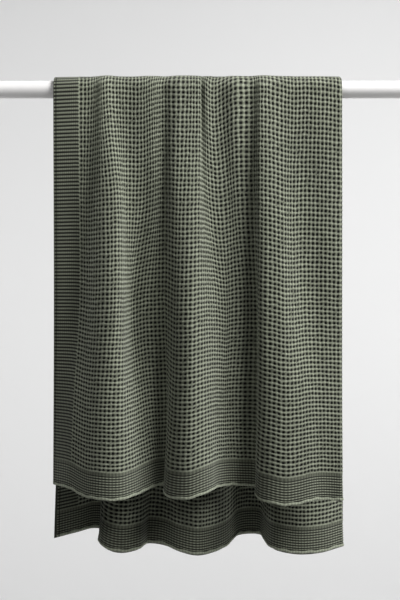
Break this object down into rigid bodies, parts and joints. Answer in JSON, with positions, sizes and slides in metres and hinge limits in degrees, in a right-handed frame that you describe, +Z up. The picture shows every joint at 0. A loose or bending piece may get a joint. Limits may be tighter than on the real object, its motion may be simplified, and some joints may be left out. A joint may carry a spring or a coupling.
{
  "type": "waffle weave cotton blanket on a rod",
  "caption": "Waffle weave cotton blanket, folded once lengthwise and draped over a plain round rod, with ribbed woven borders and rolled hems.",
  "frame": {"origin": "centre of the rod's left end face", "axes": "+X runs along the rod to its right end, -Y is the side of the front fall, +Z is up"},
  "size_m": [1, 0.1728, 0.9779],
  "materials": {
    "white_paint": "satin white paint",
    "sage_cotton": "matt waffle weave cotton, greyed sage green"
  },
  "bodies": {
    "root": {"rod": "white_paint", "blanket": "sage_cotton"}
  },
  "joints": []
}
